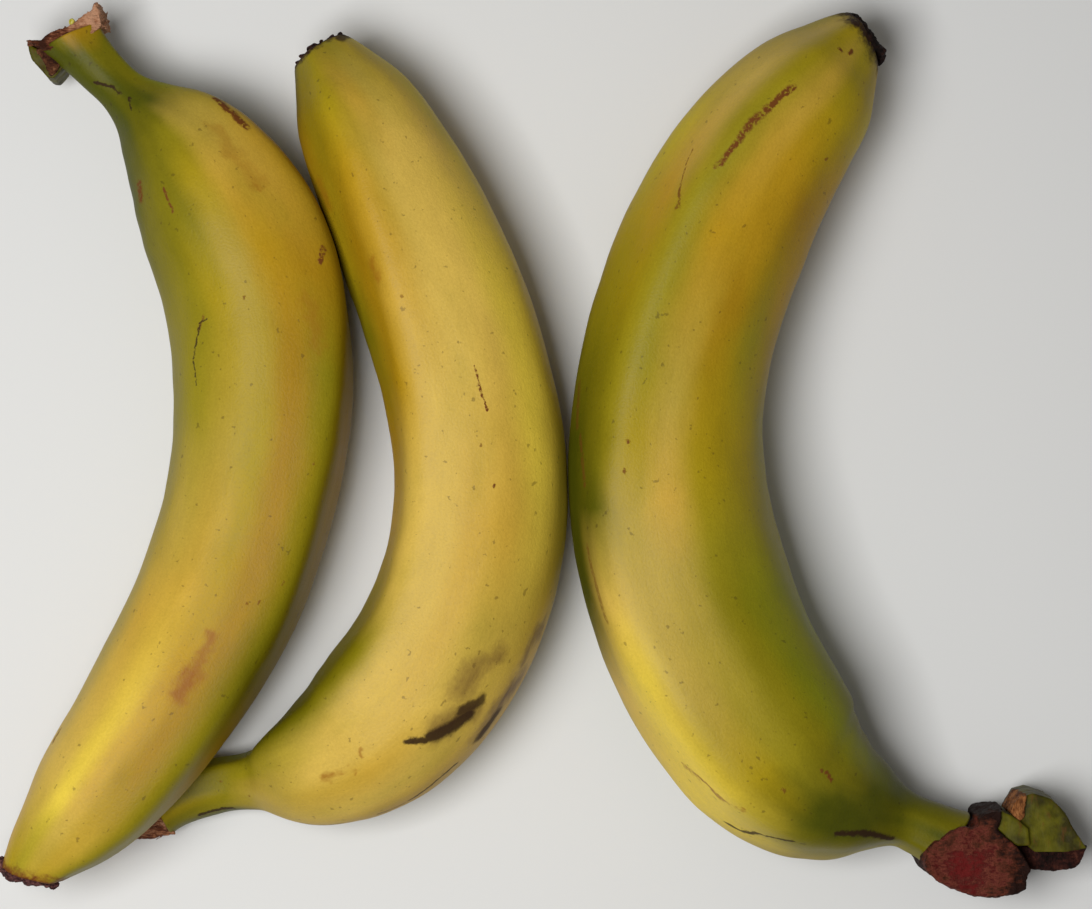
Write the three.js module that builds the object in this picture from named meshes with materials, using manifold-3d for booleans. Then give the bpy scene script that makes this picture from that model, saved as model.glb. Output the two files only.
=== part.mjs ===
// A bunch of bananas: three fingers, pulled off their crown, lying side by side on their flanks.
// The left and middle ones bulge to the right and the right one bulges to the left. The stem of
// the middle banana dips to the surface and is tucked under the flank of the left one.
// Millimetres. +X runs across the fingers to the right, +Y along them to the back, +Z is up.
// The origin is on the surface they lie on, under the middle of the bunch.

import * as THREE from "three";
import { mergeVertices } from "three/addons/utils/BufferGeometryUtils.js";
import Module from "manifold-3d";

const wasm = await Module();
wasm.setup();

// Clearance between fruits that touch, and how deep a fruit's weight flattens its underside.
const TOUCH_GAP = 0.3;
const REST_DEPTH = 0.6;

// The section is a rounded polygon. Its faces point these ways, in degrees from straight up
// towards the left of the way the fruit grows. Where two of them are far apart, a ridge runs
// from the stem to the tip between them; where they are close, the fruit is round.
const SECTION_FACES = [0, 76, 128, 180, 232, 280, 320];
const RIDGE_SHARPNESS = 9;

// Fineness of the meshes.
const STEPS_AROUND = 28;
const STEPS_ALONG = 36;
const STEPS_ON_SPINE = 120;

// How far a fruit may have to slide sideways from its first place until it just touches.
const SLIDE_REACH = 25;
const SLIDE_ROUNDS = 16;

// Each banana is described from its stem end to its tip. length runs along its middle line,
// girth is its thickness at the fattest place, farGirth further on towards the tip, and neck,
// flare and tip are the thicknesses of the stem, of the stem's torn end and of the dried tip.
// headings are the directions in degrees that the middle line takes at equal steps of its length
// (0 is +X, 90 is +Y), and heights are the heights of that line there, as shares of its height
// in the fat part. turn is how far the section is turned about the line. middleAt is where the
// middle of the line lies.
const LEFT = {
  name: "banana_left",
  colour: 0xc2ad3a,
  length: 199,
  girth: 37.4,
  farGirth: 35.8,
  neck: 9.8,
  flare: 13.5,
  tip: 12.4,
  stemLength: 18,
  shoulderLength: 38,
  taperLength: 62,
  headings: [-55, -38, -58, -69, -86, -96, -107, -117, -122, -131, -131],
  heights: [0.88, 0.95, 1, 1, 1, 1, 1, 1, 1.02, 1.02, 0.92],
  turn: 5,
  middleAt: [-59.2, 2],
  // Torn crown tissue left on the stem: its outline along and across the stem's end.
  crown: {
    thickness: 10,
    outline: [
      [-3, -9], [-4, 0], [-1, 8], [3, 7], [7, -4], [7, -9.5], [1.5, -11],
    ],
  },
};

const MIDDLE = {
  name: "banana_middle",
  colour: 0xcbb04a,
  length: 209,
  girth: 36.8,
  farGirth: 33.6,
  neck: 10.3,
  flare: 11,
  tip: 10.4,
  stemLength: 26,
  shoulderLength: 32,
  taperLength: 45,
  headings: [42, 9, 26, 50, 69, 87, 101, 110, 115, 118, 125],
  heights: [0.3, 0.3, 0.82, 1, 1, 1, 1, 1, 1, 0.96, 0.86],
  turn: 1,
  middleAt: [-13, -12.5],
};

const RIGHT = {
  name: "banana_right",
  colour: 0xb9a13a,
  length: 204,
  girth: 41.2,
  farGirth: 39,
  neck: 11,
  flare: 12,
  tip: 13,
  stemLength: 13,
  shoulderLength: 30,
  taperLength: 46,
  headings: [166, 162, 125, 118, 106, 93, 80, 70, 61, 49, 47],
  heights: [0.72, 0.82, 0.97, 1, 1, 1, 1, 1, 1, 0.96, 0.86],
  turn: -2,
  middleAt: [24.6, -3.6],
  // The piece of crown that came away with the stem, with its dried cut face.
  crown: {
    thickness: 17,
    outline: [
      [2, 7.5], [-1.5, 10], [-9.5, 12], [-16.5, 10], [-20, 7.5], [-20.5, 4], [-29.5, 1],
      [-30, -3], [-26, -9.5], [-20, -12], [-14, -11], [-10, -7], [-3, -5.5], [4, -4.5],
    ],
  },
};

// Value at a share of the way along a list of values given at equal steps.
function smooth(values, share) {
  const stations = values.map((value, index) => new THREE.Vector2(index, value));
  return new THREE.SplineCurve(stations).getPoint(share).y;
}

// Radius of the rounded polygon at an angle, as a share of the distance to its faces.
function sectionShare(angle) {
  let sum = 0;
  for (const face of SECTION_FACES) {
    const facing = Math.max(0, Math.cos(angle - THREE.MathUtils.degToRad(face)));
    sum += facing ** RIDGE_SHARPNESS;
  }
  return sum ** (-1 / RIDGE_SHARPNESS);
}

// The middle line in plan, starting at the stem end, with its middle at the origin.
function spineInPlan(banana) {
  const step = banana.length / STEPS_ON_SPINE;
  const points = [new THREE.Vector3(0, 0, 0)];
  for (let i = 0; i < STEPS_ON_SPINE; i += 1) {
    const share = (i + 0.5) / STEPS_ON_SPINE;
    const heading = THREE.MathUtils.degToRad(smooth(banana.headings, share));
    const along = new THREE.Vector3(Math.cos(heading), Math.sin(heading), 0);
    points.push(points[i].clone().addScaledVector(along, step));
  }
  const middle = points[STEPS_ON_SPINE / 2].clone();
  return points.map((point) => point.sub(middle));
}

function spineOf(banana) {
  const axisHeight = banana.girth / 2;
  const points = spineInPlan(banana);
  points.forEach((point, i) => {
    point.z = axisHeight * smooth(banana.heights, i / STEPS_ON_SPINE);
  });
  return new THREE.CatmullRomCurve3(points);
}

// Thickness along the fruit: torn stem, shoulder, fat part, and the taper to the dried tip.
function profileOf(banana) {
  const { length, girth, farGirth, neck, flare, tip } = banana;
  const { stemLength, shoulderLength, taperLength } = banana;
  const shoulderEnd = stemLength + shoulderLength;
  const taperStart = length - taperLength;
  const widths = [
    [0, flare],
    [stemLength * 0.45, neck],
    [stemLength, neck * 1.04],
    [stemLength + shoulderLength * 0.3, (neck + girth) * 0.48],
    [stemLength + shoulderLength * 0.62, girth * 0.84],
    [shoulderEnd, girth * 0.97],
    [(shoulderEnd * 2 + taperStart) / 3, girth],
    [(shoulderEnd + taperStart * 2) / 3, farGirth],
    [taperStart, farGirth * 0.95],
    [length - taperLength * 0.4, farGirth * 0.76],
    [length - taperLength * 0.14, (farGirth + tip) * 0.38],
    [length, tip],
  ];
  const wall = new THREE.SplineCurve(widths.map(([at, width]) => new THREE.Vector2(width / 2, at)));
  const stemEnd = new THREE.Vector2(0, 0);
  const tipEnd = new THREE.Vector2(0, length);
  const points = [stemEnd, ...wall.getPoints(STEPS_ALONG), tipEnd];
  // From the tip back to the stem, so that the faces point out once the body is bent.
  return points.reverse();
}

// A straight body of revolution, given its ridges and bent along the middle line.
function fingerGeometry(banana, spine) {
  const geometry = new THREE.LatheGeometry(profileOf(banana), STEPS_AROUND);
  const position = geometry.attributes.position;
  const up = new THREE.Vector3(0, 0, 1);
  const turn = THREE.MathUtils.degToRad(banana.turn);
  for (let i = 0; i < position.count; i += 1) {
    const share = THREE.MathUtils.clamp(position.getY(i) / banana.length, 0, 1);
    const angle = Math.atan2(position.getX(i), position.getZ(i));
    const radius = Math.hypot(position.getX(i), position.getZ(i)) * sectionShare(angle - turn);
    const along = spine.getTangentAt(share);
    const side = new THREE.Vector3().crossVectors(up, along).normalize();
    const top = new THREE.Vector3().crossVectors(along, side);
    const point = spine.getPointAt(share);
    point.addScaledVector(side, radius * Math.sin(angle));
    point.addScaledVector(top, radius * Math.cos(angle));
    position.setXYZ(i, point.x, point.y, point.z);
  }
  return geometry;
}

// The block of crown tissue on the stem's end, as thick as given and centred on the stem.
function crownGeometry(crown, spine) {
  const bevel = crown.thickness * 0.16;
  const corners = crown.outline.map(([along, across]) => new THREE.Vector2(along, across));
  const outline = new THREE.Shape(corners);
  const geometry = new THREE.ExtrudeGeometry(outline, {
    depth: crown.thickness - 2 * bevel,
    bevelThickness: bevel,
    bevelSize: bevel * 0.6,
    bevelOffset: -bevel * 0.6,
    bevelSegments: 2,
  });
  const end = spine.getPointAt(0);
  const along = spine.getTangentAt(0);
  geometry.translate(0, 0, bevel - crown.thickness / 2);
  geometry.rotateZ(Math.atan2(along.y, along.x));
  geometry.translate(end.x, end.y, end.z);
  return geometry;
}

function solidOf(geometry) {
  const bare = geometry.clone();
  bare.deleteAttribute("normal");
  bare.deleteAttribute("uv");
  const merged = mergeVertices(bare, 1e-4);
  return new wasm.Manifold(new wasm.Mesh({
    numProp: 3,
    vertProperties: merged.attributes.position.array,
    triVerts: new Uint32Array(merged.index.array),
  }));
}

function geometryOf(solid) {
  const mesh = solid.getMesh();
  const geometry = new THREE.BufferGeometry();
  geometry.setAttribute("position", new THREE.BufferAttribute(mesh.vertProperties, 3));
  geometry.setIndex(new THREE.BufferAttribute(mesh.triVerts, 1));
  geometry.computeVertexNormals();
  return geometry;
}

// Lowers a fruit until it rests, and takes off what its weight flattens at the surface.
function laidDown(solid, banana) {
  const geometry = geometryOf(solid);
  geometry.computeBoundingBox();
  geometry.translate(0, 0, -geometry.boundingBox.min.z - REST_DEPTH);
  const floor = new THREE.BoxGeometry(banana.length * 2, banana.length * 2, banana.girth);
  floor.translate(0, 0, -banana.girth / 2);
  return geometryOf(solidOf(geometry).subtract(solidOf(floor)));
}

function bananaMesh(banana) {
  const spine = spineOf(banana);
  let solid = solidOf(fingerGeometry(banana, spine));
  if (banana.crown) {
    solid = solid.add(solidOf(crownGeometry(banana.crown, spine)));
  }
  const material = new THREE.MeshStandardMaterial({
    color: banana.colour,
    roughness: 0.45,
    metalness: 0,
  });
  const mesh = new THREE.Mesh(laidDown(solid, banana), material);
  mesh.name = banana.name;
  mesh.position.set(banana.middleAt[0], banana.middleAt[1], 0);
  return mesh;
}

function placedSolid(mesh, shift) {
  const { x, y, z } = mesh.position;
  return solidOf(mesh.geometry.clone().translate(x + shift, y, z));
}

// Slides a fruit sideways, away from its neighbour, to where they touch but for the gap.
function slideToTouch(mesh, neighbour, away) {
  const fixed = placedSolid(neighbour, 0);
  let cutting = -SLIDE_REACH;
  let clear = SLIDE_REACH;
  for (let i = 0; i < SLIDE_ROUNDS; i += 1) {
    const trial = (cutting + clear) / 2;
    if (placedSolid(mesh, away * trial).intersect(fixed).isEmpty()) {
      clear = trial;
    } else {
      cutting = trial;
    }
  }
  mesh.position.x += away * (clear + TOUCH_GAP);
}

const left = bananaMesh(LEFT);
const middle = bananaMesh(MIDDLE);
const right = bananaMesh(RIGHT);
slideToTouch(left, middle, -1);
slideToTouch(right, middle, 1);

const bunch = new THREE.Group();
bunch.add(left, middle, right);

// The origin goes under the middle of the bunch.
bunch.updateMatrixWorld(true);
const box = new THREE.Box3().setFromObject(bunch, true);
bunch.position.set(-(box.min.x + box.max.x) / 2, -(box.min.y + box.max.y) / 2, 0);

export default bunch;
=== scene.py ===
"""A bunch of bananas: three fingers off their crown, lying side by side on their flanks."""
import math
import random

import bpy
from bpy.props import FloatProperty, FloatVectorProperty, PointerProperty
from bpy.types import Operator, Panel, PropertyGroup
from mathutils import Matrix, Vector


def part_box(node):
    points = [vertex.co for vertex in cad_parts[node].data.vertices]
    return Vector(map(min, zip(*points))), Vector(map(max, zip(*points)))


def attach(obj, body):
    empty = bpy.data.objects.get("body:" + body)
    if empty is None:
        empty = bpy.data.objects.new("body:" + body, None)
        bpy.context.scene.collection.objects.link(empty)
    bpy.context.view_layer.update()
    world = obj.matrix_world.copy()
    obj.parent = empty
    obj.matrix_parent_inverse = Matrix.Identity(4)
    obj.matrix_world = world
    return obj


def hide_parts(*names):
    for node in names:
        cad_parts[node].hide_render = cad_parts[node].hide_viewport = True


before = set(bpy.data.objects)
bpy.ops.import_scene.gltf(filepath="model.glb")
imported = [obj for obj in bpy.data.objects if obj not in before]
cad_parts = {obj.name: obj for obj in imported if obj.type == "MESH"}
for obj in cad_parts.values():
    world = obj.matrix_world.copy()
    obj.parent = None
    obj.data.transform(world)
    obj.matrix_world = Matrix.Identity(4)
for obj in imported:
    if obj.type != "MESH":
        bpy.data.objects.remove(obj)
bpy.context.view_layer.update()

bl_info = {
    "name": "Bunch of bananas",
    "version": (1, 0, 0),
    "blender": (4, 5, 0),
    "location": "3D View > Sidebar > Bananas",
    "description": "Models three bananas lying side by side, with their peel, stems and tips",
    "category": "Object",
}

MM = 0.001
DEGREE = math.pi / 180

# Each banana runs from the torn end of its stem to its dried tip.
# headings are the directions that its middle line takes at equal steps of its length, and
# heights are the heights of that line there, as shares of its height in the fat part.
# turns is how far the section is turned about the line at equal steps, and slants how far the
# torn end and the tip are off square, in degrees. start is where the whole peel starts, in
# millimetres from the end of the torn stem. sides are the sides of its node's box that the
# peel is set against, along X, Y and Z, and offset is how far off them it lies, in millimetres.
LINES = {
    "left": {
        "headings": (-49, -42, -57, -70, -87, -98, -108, -118, -123, -129, -127),
        "heights": (0.88, 0.95, 1, 1, 1, 1, 1.01, 1.06, 1.17, 1.24, 1.2),
        "turns": (26, 28, 28, 22, 11, 5, 5, 5, 5, 5, 2),
        "slants": (16.3, -22),
        "start": 0,
        "sides": ("low", "low", "low"),
        "offset": (0.0, 1.4, 0),
    },
    "middle": {
        "headings": (38, 9, 26, 49, 68, 86, 100, 109, 114.5, 117.5, 124),
        "heights": (0.3, 0.3, 0.82, 1, 1, 1, 1, 1, 1, 0.96, 0.86),
        "turns": (2, 2, 2, 3, 3, 3, 0, -6, -14, -20, -22),
        "slants": (8, 0),
        "start": 4.6,
        "sides": ("high", "high", "low"),
        "offset": (-0.2, 0.9, 0),
    },
    "right": {
        "headings": (154, 161, 130, 118, 106, 93, 80, 70, 61, 49, 47),
        "heights": (0.7, 0.82, 0.97, 1, 1, 1, 1, 1, 1, 0.96, 0.86),
        "turns": (-6, -8, -8, -6, 4, -2, -9, -13, -16, -18, -18),
        "slants": (18.5, 11),
        "start": 0,
        "sides": ("low", "high", "low"),
        "offset": (-0.2, 1.4, 0),
    },
}

# Sizes in millimetres, in the order of SIZE_WORDS.
SIZES = {
    "left": (200, 36.3, 34.2, 9.9, 12.4, 12.2, 18, 38, 62),
    "middle": (211.5, 35.8, 34.6, 11.8, 12, 12, 27, 36, 44),
    "right": (206, 41, 37.9, 12.1, 13.8, 12.2, 12, 37, 46),
}
SIZE_WORDS = (
    ("length", "Length", "Length of the banana along its middle line"),
    ("girth", "Girth", "Thickness of the fat part, nearer the stem"),
    ("far_girth", "Far girth", "Thickness of the fat part, nearer the tip"),
    ("neck", "Neck", "Thickness of the neck"),
    ("flare", "Stem end", "Thickness of the stem where it is torn off"),
    ("tip", "Tip", "Thickness of the blunt tip"),
    ("stem", "Stem", "Length of the thin stem"),
    ("shoulder", "Shoulder", "Length over which the stem widens into the fruit"),
    ("taper", "Taper", "Length over which the fruit narrows to its tip"),
)

COLOURS = {
    "leaf": ("Leaf green", "The greenest peel, on the necks", (0.07, 0.074, 0.0015)),
    "moss": ("Moss green", "Green peel behind the necks", (0.145, 0.125, 0.002)),
    "grass": ("Grass green", "Green peel on the right banana", (0.2, 0.205, 0.003)),
    "olive": ("Olive", "Olive peel", (0.22, 0.18, 0.004)),
    "lime": ("Lime", "Peel that is starting to ripen", (0.28, 0.225, 0.008)),
    "khaki": ("Khaki", "Warm green peel near the tips", (0.35, 0.25, 0.005)),
    "umber": ("Umber", "Brownish peel along the ridges", (0.33, 0.185, 0.004)),
    "fern": ("Fern", "Half ripe peel", (0.38, 0.27, 0.03)),
    "acid": ("Acid green", "Bright yellow-green peel", (0.49, 0.37, 0.004)),
    "amber": ("Amber", "Deep orange-yellow peel", (0.44, 0.255, 0.008)),
    "straw": ("Straw", "Pale yellow peel", (0.44, 0.31, 0.042)),
    "gold": ("Gold", "Golden peel", (0.525, 0.325, 0.037)),
    "butter": ("Butter", "Ripe pale yellow peel", (0.585, 0.395, 0.068)),
    "sun": ("Sun yellow", "The brightest ripe peel", (0.72, 0.53, 0.055)),
    "scar": ("Scar", "Old dark scars and streaks", (0.03, 0.012, 0.004)),
    "rust": ("Rust", "Reddish brown speckles", (0.15, 0.045, 0.006)),
    "tan": ("Tan", "Orange-brown rubbed patches", (0.28, 0.105, 0.005)),
    "bruise": ("Bruise", "Grey-brown bruises", (0.13, 0.065, 0.02)),
}

# The section's faces, in degrees from straight up, and how sharp the ridges between them are.
SECTION_FACES = (0, 76, 128, 180, 232, 280, 320)
RIDGE_SHARPNESS = 12

# How many points the peel's rings have, how far apart the rings are and how far along the peel
# its slanted ends reach, in millimetres.
RING_POINTS = 40
RING_STEP = 4.2
SLANT_REACH = 12

# The peel's colours: for each lane round the fruit, what it is called at places along it,
# as shares of the length from the stem. Lanes lie at LANE_TURNS, and the last one is below.
LANE_TURNS = (-75, -45, -20, 0, 20, 45, 75)
LANES = {
    "left": (
        "0 leaf .12 leaf .2 leaf .35 olive .48 olive .62 khaki .75 straw .88 butter 1 gold",
        "0 leaf .12 leaf .2 moss .33 olive .46 lime .58 straw .7 gold .88 butter 1 khaki",
        "0 moss .02 leaf .16 moss .24 olive .33 khaki .5 fern .65 gold .9 sun 1 lime",
        "0 umber .03 leaf .1 leaf .15 olive .2 khaki .3 fern .5 khaki .75 amber .88 gold "
        ".93 butter 1 khaki",
        "0 umber .03 moss .1 leaf .15 straw .2 gold .3 amber .4 umber .5 umber .85 umber .93 gold "
        "1 khaki",
        "0 umber .03 moss .1 moss .15 straw .2 gold .33 umber .42 olive .6 olive .7 moss .8 olive "
        "1 olive",
        "0 umber .03 moss .1 grass .2 amber .35 olive .5 khaki .7 khaki .8 umber .9 olive 1 moss",
        "0 leaf .12 moss .3 olive .5 lime .7 straw .9 gold 1 khaki",
    ),
    "middle": (
        "0 moss .12 leaf .17 butter .26 amber .4 butter .5 sun .7 sun .9 acid 1 acid",
        "0 moss .1 olive .15 fern .22 butter .33 butter .42 straw .55 sun .7 sun .85 butter "
        "1 khaki",
        "0 khaki .1 olive .15 straw .26 gold .33 butter .4 straw .5 gold .7 butter .9 butter "
        "1 olive",
        "0 moss .04 moss .1 olive .15 fern .22 butter .5 gold .65 butter .85 butter .93 gold "
        "1 olive",
        "0 moss .1 olive .15 lime .25 butter .65 butter .75 gold .85 amber .93 khaki 1 olive",
        # Lanes at 45 and 75 degrees, the flank towards the left banana: their moss, olive and umber
        # are partly the peel's own greener side and partly painted shade where this flank turns
        # from the light.
        "0 umber .04 moss .1 olive .15 moss .22 moss .33 olive .42 butter .55 butter .65 amber "
        ".8 umber 1 olive",
        "0 umber .1 grass .2 moss .33 olive .4 khaki .5 gold .6 amber .7 olive .8 khaki "
        ".9 umber 1 leaf",
        "0 moss .12 moss .2 olive .35 straw .5 gold .7 butter .9 gold 1 khaki",
    ),
    "right": (
        "0 moss .08 leaf .15 moss .3 grass .45 lime .55 lime .7 amber .85 amber .93 acid 1 amber",
        "0 moss .08 leaf .15 grass .35 grass .45 lime .54 khaki .65 lime .8 umber .9 khaki "
        "1 khaki",
        "0 moss .1 leaf .2 olive .35 olive .42 lime .5 khaki .68 umber .82 amber .93 khaki 1 lime",
        "0 leaf .1 leaf .15 leaf .2 lime .4 fern .48 gold .58 straw .75 amber .88 gold .93 gold "
        "1 lime",
        "0 moss .1 leaf .15 leaf .2 khaki .3 straw .47 straw .55 khaki .62 lime .75 lime "
        ".85 lime 1 khaki",
        # Lanes at 45 and 75 degrees, the flank against the middle banana: their olive, moss and
        # leaf green are partly the peel's own greener, mottled side and partly painted shade, and
        # from .4 to .62 along partly painted shadow of the middle banana.
        "0 moss .08 moss .14 olive .2 sun .33 sun .4 butter .48 leaf .6 olive .68 khaki .76 amber "
        ".88 butter 1 fern",
        "0 moss .08 lime .14 khaki .2 sun .33 butter .4 leaf .54 leaf .62 olive .7 khaki .82 acid "
        ".9 straw 1 lime",
        "0 leaf .12 moss .3 grass .5 lime .7 khaki .9 amber 1 khaki",
    ),
}

# Marks on the peel: kind, half width in millimetres, strength, then (along, turn) points:
# millimetres from the stem's end, and degrees from straight up, positive to the left.
# A mark with one point is a speck, SPECK millimetres long.
SPECK = 0.3
MARKS = {
    "left": (
        ("scar", 0.34, 0.95, (11, -32), (13, -19), (15, -9)),
        ("scar", 0.18, 0.8, (15, -11), (17, -6)),
        ("scar", 0.24, 0.9, (19, 1), (21, -12)),
        ("rust", 0.85, 1.0, (31, 64), (34, 60), (38, 58)),
        ("rust", 1.1, 0.95, (35, -55), (38, -58)),
        ("rust", 0.34, 0.95, (40, -28), (42, -28), (45, -29)),
        ("scar", 0.24, 0.85, (71, -31), (71, -36), (77, -44), (81, -46), (86, -44)),
        ("rust", 0.4, 0.5, (70, -33), (73, -39)),
        ("rust", 0.55, 0.95, (63, 54), (65, 49)),
        ("tan", 1.6, 0.34, (36, 38), (41, 35), (48, 38)),
        ("tan", 0.6, 0.6, (47, 35), (50, 39)),
        ("tan", 2.0, 1.0, (152, 12), (147, 12)),
        ("tan", 1.2, 0.75, (147, 12), (138, 12)),
        ("rust", 0.35, 0.7, (123, 39)),
        ("rust", 0.3, 0.6, (128, 30)),
        ("rust", 0.3, 0.6, (129, 24)),
        ("rust", 0.3, 0.6, (100, 38)),
        ("rust", 0.3, 0.6, (68, -3)),
        ("tan", 1.4, 0.35, (71, 38), (79, 39)),
        ("rust", 0.6, 0.7, (172, -80), (175, -80)),
        ("rust", 0.5, 0.8, (70, 150), (88, 158)),
        ("scar", 0.3, 0.8, (120, -140), (128, -150)),
        ("tan", 2.4, 0.5, (140, -150), (152, -165)),
    ),
    "middle": (
        ("rust", 0.28, 0.95, (138, -8), (135, -8), (131, -9), (129, -10)),
        ("rust", 0.35, 0.85, (114, -10)),
        ("rust", 0.3, 0.6, (122, -3)),
        ("tan", 1.4, 0.5, (186, 66), (180, 65)),
        ("tan", 1.3, 0.6, (165, 34), (162, 33)),
        ("rust", 0.3, 0.5, (156, 22)),
        ("scar", 0.8, 0.95, (63, -20), (65, -30)),
        ("scar", 1.5, 0.95, (66, -30), (69, -38), (72, -43)),
        ("scar", 1.2, 0.85, (72, -36), (75, -45)),
        ("bruise", 2.6, 0.7, (68, -30), (73, -40)),
        ("bruise", 2.4, 0.6, (75, -25), (79, -29)),
        ("bruise", 2.2, 0.55, (80, -27), (83, -40)),
        ("scar", 1.5, 0.8, (70, -72), (74, -72)),
        ("bruise", 2.4, 0.75, (71, -68), (77, -68), (81, -76)),
        ("bruise", 1.4, 0.6, (84, -68), (88, -68), (90, -79)),
        ("scar", 0.5, 0.85, (64, -74), (60, -72), (55, -74)),
        ("scar", 0.35, 0.7, (50, -72), (54, -76)),
        ("scar", 0.4, 0.8, (44, -70), (41, -70), (37, -66)),
        ("tan", 0.7, 0.7, (48, -10), (50, -10)),
        ("tan", 0.55, 0.7, (52, -8), (52, -14)),
        ("tan", 0.5, 0.7, (56, -3), (56, -9)),
        ("rust", 0.3, 0.5, (83, 40)),
        ("scar", 0.55, 0.9, (13, -56), (17, -55), (22, -60)),
        ("rust", 0.3, 0.6, (28, -23)),
        ("rust", 0.3, 0.5, (21, 10)),
        ("scar", 1.1, 0.85, (210, -45), (210.3, -75)),
        ("tan", 2.2, 0.4, (120, 150), (134, 160)),
        ("scar", 0.4, 0.8, (84, -150), (92, -140)),
    ),
    "right": (
        ("rust", 0.75, 1.0, (185, 12), (182, 14), (179, 14)),
        ("rust", 0.9, 0.85, (179, 15), (175, 17), (171, 17)),
        ("rust", 0.7, 0.95, (171, 17), (166, 18), (165, 20)),
        ("rust", 0.3, 0.7, (155, 28), (158, 34), (163, 41), (166, 45)),
        ("rust", 0.6, 0.6, (155, 30)),
        ("rust", 0.35, 0.6, (179, -42)),
        ("rust", 0.4, 0.8, (110, 23)),
        ("rust", 0.35, 0.7, (141, 22)),
        ("rust", 0.3, 0.8, (132, 25), (128, 27)),
        ("rust", 0.35, 0.7, (106, 32)),
        ("rust", 0.35, 0.7, (105, 25)),
        ("rust", 0.5, 0.8, (35, -14), (33, -12)),
        ("rust", 0.4, 0.7, (36, -13)),
        ("rust", 0.35, 0.6, (39, 12)),
        ("scar", 0.5, 0.9, (39, 71), (37, 66), (36, 52)),
        ("scar", 0.4, 0.85, (36, 52), (34, 44), (32, 37)),
        ("scar", 0.6, 0.95, (26, 22), (23, 20)),
        ("scar", 0.75, 0.95, (23, 20), (18, 22), (13, 33)),
        ("tan", 0.5, 0.85, (52, 54), (47, 48), (44, 42), (41, 37)),
        ("tan", 0.8, 0.6, (50, 53), (48, 51)),
        ("rust", 0.9, 0.45, (120, 80), (113, 75)),
        ("rust", 0.8, 0.5, (111, 68), (103, 55)),
        ("rust", 1.0, 0.45, (92, 56), (87, 53), (80, 52)),
        ("rust", 0.5, 0.9, (198, 10), (198, 7)),
        ("rust", 0.5, 0.9, (199, -1), (200, -1)),
        ("rust", 0.35, 0.6, (197, -36)),
        ("tan", 2.4, 0.4, (70, 160), (88, 150)),
        ("scar", 0.35, 0.8, (140, -140), (150, -150)),
    ),
}

# The burnt lip of each blunt tip: how far it reaches back over the peel, in millimetres, and
# its colour. CRUSTS gives the size and the colours of the dried crust, from hollow to high.
LIPS = {"left": (3, "rust"), "middle": (1.6, "scar"), "right": (4, "scar")}
CRUSTS = {
    "left": (
        0.75, (0.01, 0.005, 0.005), (0.04, 0.015, 0.015), (0.13, 0.05, 0.045), (0.28, 0.13, 0.11),
    ),
    "middle": (
        0.4, (0.005, 0.003, 0.002), (0.012, 0.005, 0.004), (0.03, 0.01, 0.007), (0.07, 0.03, 0.015),
    ),
    "right": (
        0.95, (0.003, 0.0015, 0.001), (0.007, 0.003, 0.002), (0.016, 0.006, 0.004),
        (0.05, 0.016, 0.008),
    ),
}

# What is left of the crown: the outlines of its pieces, in millimetres from a corner of the
# banana's box, and their lowest and highest levels over the floor.
CROWN_LEFT = {
    "corner": ("low", "high"),
    "torn": (
        (4.6, -6.8), (7.4, -6.6), (10.4, -4.8), (13.2, -3.8), (16.8, -1.4), (18.5, -0.3),
        (19.3, 1.2), (20.1, -0.1), (20.5, -2), (20.9, -3.6), (17.4, -6.2), (13.4, -8),
        (8.6, -8.6),
    ),
    "stub": (
        (4.7, -6.9), (7, -8.1), (11, -7), (12.1, -8.3), (12.4, -12), (10.2, -14.5),
        (9, -14.3), (7.4, -12.5), (5.5, -10.4), (4.9, -8.3),
    ),
    "scab": (
        (6.6, -8.3), (9.1, -7), (11.4, -6.6), (12, -8.3), (11.7, -11), (10.7, -13.3),
        (9.5, -13.8), (8.3, -11.2),
    ),
}
LEVELS_LEFT = {"torn": (11.5, 21), "stub": (7.5, 17.5), "scab": (9, 18.4)}
CROWN_RIGHT = {
    "corner": ("high", "low"),
    "cut": (
        (-34.9, 7.6), (-34.6, 10.3), (-32.9, 12.5), (-30, 14.3), (-27.3, 15.2), (-25.7, 15.6),
        (-24.4, 15.4), (-23.2, 16.4), (-23.3, 17.4), (-21.7, 18.6), (-19.7, 19.1), (-17.9, 19.1),
        (-18.2, 17.2), (-19, 15.1), (-17.4, 13.3), (-15, 11.2), (-13.1, 9),
        (-11.6, 6.4), (-12.6, 4.1), (-12.8, 2.3), (-16.6, 0.6), (-20.3, 0), (-23.4, 0.2),
        (-26, 1.2), (-28.8, 2.6), (-31.9, 4.2), (-33.7, 5.6),
    ),
    "facet": (
        (-18.6, 18.9), (-14.9, 17), (-12.6, 15), (-12.2, 11.4), (-14.7, 11.2),
        (-16.9, 12.4), (-19.4, 14.9),
    ),
    "leaf": (
        (-16.4, 18), (-14.1, 21.9), (-11.6, 22.5), (-7.4, 21.3), (-4.3, 18.1), (-2.8, 14.9),
        (0.3, 10.3), (-5, 9.5), (-11.4, 9.5), (-13.4, 11.4), (-14.4, 14.3),
    ),
    "fibres": (
        (-16.5, 18.3), (-15.6, 20), (-13.9, 21.9), (-12.8, 21.9), (-13.2, 19.2), (-13.5, 17),
        (-14.7, 16.4),
    ),
    "heel": (
        (-17.5, 12), (-11.4, 10.5), (-5, 10.6), (0.1, 10.9), (-0.3, 8.7), (-2.2, 6.4),
        (-6.4, 5.5), (-10, 6), (-12.6, 6), (-17.4, 8),
    ),
}
LEVELS_RIGHT = {
    "cut": (4, 22.4), "facet": (6, 21.2), "leaf": (5, 20), "fibres": (8, 20.4), "heel": (4.5, 17.5),
}

# How many knobs the crust of a tip has, and how many fibres stand out of the torn places.
TIP_KNOBS = 20
STEM_FIBRES = 30
CROWN_FIBRES = 70

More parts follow.
